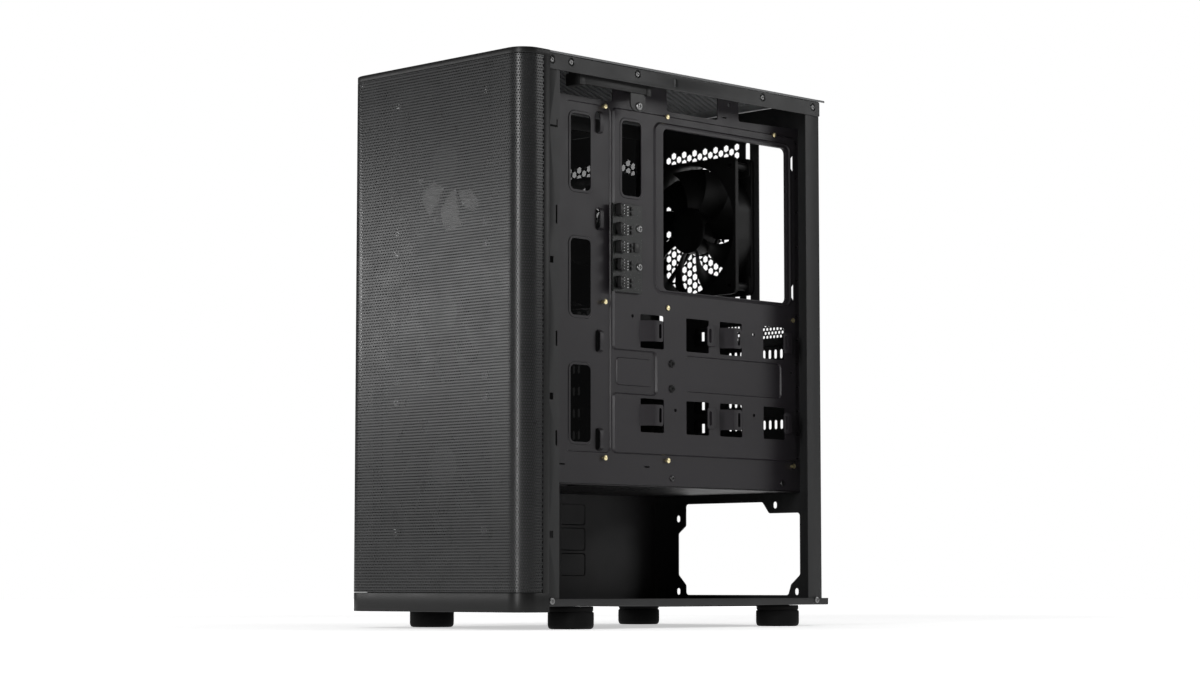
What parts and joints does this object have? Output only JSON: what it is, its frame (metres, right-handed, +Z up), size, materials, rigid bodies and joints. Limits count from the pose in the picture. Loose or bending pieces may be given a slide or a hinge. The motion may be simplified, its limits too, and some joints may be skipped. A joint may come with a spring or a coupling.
{
  "type": "mid-tower desktop computer case",
  "caption": "Mid-tower desktop computer case, cable side open: mesh front bezel, motherboard tray, power supply bay, cooling fans and glass side panel.",
  "frame": {"origin": "on the floor, under the centre of the case's box", "axes": "+Z up; -Y is the front (mesh bezel), +Y the rear panel, +X the open cable side, -X the glass side"},
  "size_m": [0.206, 0.3592, 0.4497],
  "materials": {
    "powder_coated_steel": "fine-textured black powder coat",
    "fan_frame_plastic": "satin black",
    "fan_blade_plastic": "satin black",
    "brass": "turned",
    "rubber": "matt",
    "connector_plastic": "matt",
    "circuit_board": "black solder mask",
    "black_plastic": "satin",
    "plated_steel": "nickel plated",
    "bezel_plastic": "satin black",
    "mesh_sheet": "perforated, satin black",
    "tinted_glass": "tempered, lightly tinted",
    "black_screw": "black zinc",
    "filter_mesh": "fine black mesh"
  },
  "bodies": {
    "chassis": {"top_panel": "powder_coated_steel", "base_panel": "powder_coated_steel", "rear_panel": "powder_coated_steel", "front_frame": "powder_coated_steel", "motherboard_tray": "powder_coated_steel", "psu_shroud": "powder_coated_steel", "slot_cover_1": "powder_coated_steel", "slot_cover_2": "powder_coated_steel", "slot_cover_3": "powder_coated_steel", "slot_cover_4": "powder_coated_steel", "slot_cover_5": "powder_coated_steel", "slot_cover_6": "powder_coated_steel", "slot_cover_7": "powder_coated_steel", "slot_screw_rail": "powder_coated_steel", "front_fan_1_frame": "fan_frame_plastic", "front_fan_2_frame": "fan_frame_plastic", "front_fan_3_frame": "fan_frame_plastic", "rear_fan_frame": "fan_frame_plastic", "standoff_1": "brass", "standoff_2": "brass", "standoff_3": "brass", "standoff_4": "brass", "standoff_5": "brass", "standoff_6": "brass", "standoff_7": "brass", "standoff_8": "brass", "standoff_9": "brass", "fan_hub_board": "circuit_board", "fan_header_1": "connector_plastic", "fan_header_2": "connector_plastic", "fan_header_3": "connector_plastic", "fan_header_4": "connector_plastic", "fan_header_5": "connector_plastic", "io_housing": "black_plastic", "usb_a_port_1": "plated_steel", "usb_a_port_2": "plated_steel", "usb_c_port": "plated_steel", "audio_jack": "plated_steel", "foot_front_left": "rubber", "foot_front_right": "rubber", "foot_rear_left": "rubber", "foot_rear_right": "rubber"},
    "glass_side": {"glass_panel": "tinted_glass", "glass_strap": "powder_coated_steel", "glass_thumbscrew_1": "black_screw", "glass_thumbscrew_2": "black_screw"},
    "bezel": {"bezel_shell": "bezel_plastic", "bezel_mesh": "mesh_sheet"},
    "power_button_body": {"power_button": "black_plastic"},
    "reset_button_body": {"reset_button": "black_plastic"},
    "psu_filter_body": {"psu_filter": "filter_mesh"},
    "top_filter_body": {"top_filter": "filter_mesh"},
    "front_rotor_1": {"front_fan_1_rotor": "fan_blade_plastic"},
    "front_rotor_2": {"front_fan_2_rotor": "fan_blade_plastic"},
    "front_rotor_3": {"front_fan_3_rotor": "fan_blade_plastic"},
    "rear_rotor": {"rear_fan_rotor": "fan_blade_plastic"}
  },
  "joints": [
    {"name": "front_rotor_1_spin", "type": "hinge", "parent": "chassis", "child": "front_rotor_1", "pos_m": [-0.022, -0.1379, 0.129], "axis": [0, 1, 0], "continuous": true},
    {"name": "front_rotor_2_spin", "type": "hinge", "parent": "chassis", "child": "front_rotor_2", "pos_m": [-0.022, -0.1379, 0.251], "axis": [0, 1, 0], "continuous": true},
    {"name": "front_rotor_3_spin", "type": "hinge", "parent": "chassis", "child": "front_rotor_3", "pos_m": [-0.022, -0.1379, 0.373], "axis": [0, 1, 0], "continuous": true},
    {"name": "rear_rotor_spin", "type": "hinge", "parent": "chassis", "child": "rear_rotor", "pos_m": [-0.0336, 0.158, 0.3455], "axis": [0, 1, 0], "continuous": true},
    {"name": "power_button_press", "type": "slide", "parent": "chassis", "child": "power_button_body", "axis": [0, 0, -1], "range_m": [0, 0.0016], "stiffness_N_per_m": 400, "springref_m": -0.001},
    {"name": "reset_button_press", "type": "slide", "parent": "chassis", "child": "reset_button_body", "axis": [0, 0, -1], "range_m": [0, 0.0012], "stiffness_N_per_m": 400, "springref_m": -0.001},
    {"name": "glass_side_off", "type": "slide", "parent": "chassis", "child": "glass_side", "axis": [-1, 0, 0], "range_m": [0, 0.15]},
    {"name": "bezel_off", "type": "slide", "parent": "chassis", "child": "bezel", "axis": [0, -1, 0], "range_m": [0, 0.12]},
    {"name": "psu_filter_slide", "type": "slide", "parent": "chassis", "child": "psu_filter_body", "axis": [0, 1, 0], "range_m": [0, 0.175]},
    {"name": "top_filter_lift", "type": "slide", "parent": "chassis", "child": "top_filter_body", "axis": [0, 0, 1], "range_m": [0, 0.1]}
  ]
}
